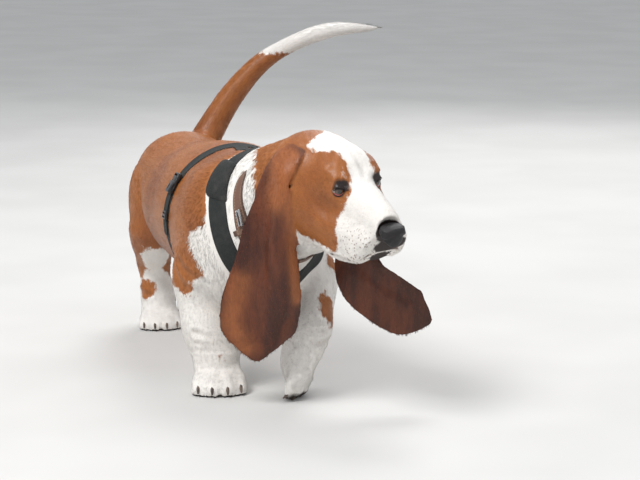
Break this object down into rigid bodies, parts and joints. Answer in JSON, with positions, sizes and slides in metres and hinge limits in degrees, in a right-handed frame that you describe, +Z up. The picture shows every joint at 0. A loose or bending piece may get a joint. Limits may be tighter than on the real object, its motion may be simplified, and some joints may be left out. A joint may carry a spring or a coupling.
{
  "type": "basset hound",
  "caption": "Life-size walking basset hound with long hanging ears and a raised tail, in a webbing harness and a leather collar.",
  "frame": {"origin": "on the floor under the middle of the bounding box", "axes": "+X towards the dog's front, +Y to its left, +Z up"},
  "size_m": [0.8796, 0.4508, 0.5223],
  "materials": {
    "coat_tan": "short glossy tan coat",
    "coat_white": "short white coat with tan and grey flecks",
    "coat_ears": "soft dark chestnut ear leather",
    "claw_horn": "dark horn",
    "eye_surface": "wet dark brown eye",
    "nose_leather": "moist black nose",
    "harness_webbing": "black woven webbing",
    "harness_plastic": "black moulded plastic",
    "collar_leather": "worn brown leather",
    "collar_steel": "plated steel"
  },
  "bodies": {
    "root": {"claw_fore_right_1": "claw_horn", "claw_fore_right_2": "claw_horn", "claw_fore_right_3": "claw_horn", "claw_fore_right_4": "claw_horn", "paw_fore_right": "coat_white", "claw_fore_left_1": "claw_horn", "claw_fore_left_2": "claw_horn", "claw_fore_left_3": "claw_horn", "claw_fore_left_4": "claw_horn", "paw_fore_left": "coat_white", "claw_hind_right_1": "claw_horn", "claw_hind_right_2": "claw_horn", "claw_hind_right_3": "claw_horn", "claw_hind_right_4": "claw_horn", "paw_hind_right": "coat_white", "claw_hind_left_1": "claw_horn", "claw_hind_left_2": "claw_horn", "claw_hind_left_3": "claw_horn", "claw_hind_left_4": "claw_horn", "paw_hind_left": "coat_white", "lower_jaw": "coat_white", "nose": "nose_leather", "eye_left": "eye_surface", "eye_right": "eye_surface", "tail_base": "coat_tan", "tail_tip": "coat_white", "torso": "coat_tan", "neck": "coat_white", "head": "coat_white", "leg_fore_right": "coat_white", "leg_fore_left": "coat_white", "leg_hind_right": "coat_tan", "leg_hind_left": "coat_tan", "ear_right": "coat_ears", "ear_left": "coat_ears", "harness_neck_loop": "harness_webbing", "harness_girth": "harness_webbing", "harness_chest_strap": "harness_webbing", "harness_back_strap": "harness_webbing", "harness_sleeve_right": "harness_webbing", "harness_sleeve_left": "harness_webbing", "collar": "collar_leather", "girth_buckle": "harness_plastic", "girth_slider": "harness_plastic", "collar_buckle": "collar_steel", "collar_keeper": "collar_leather"}
  },
  "joints": []
}
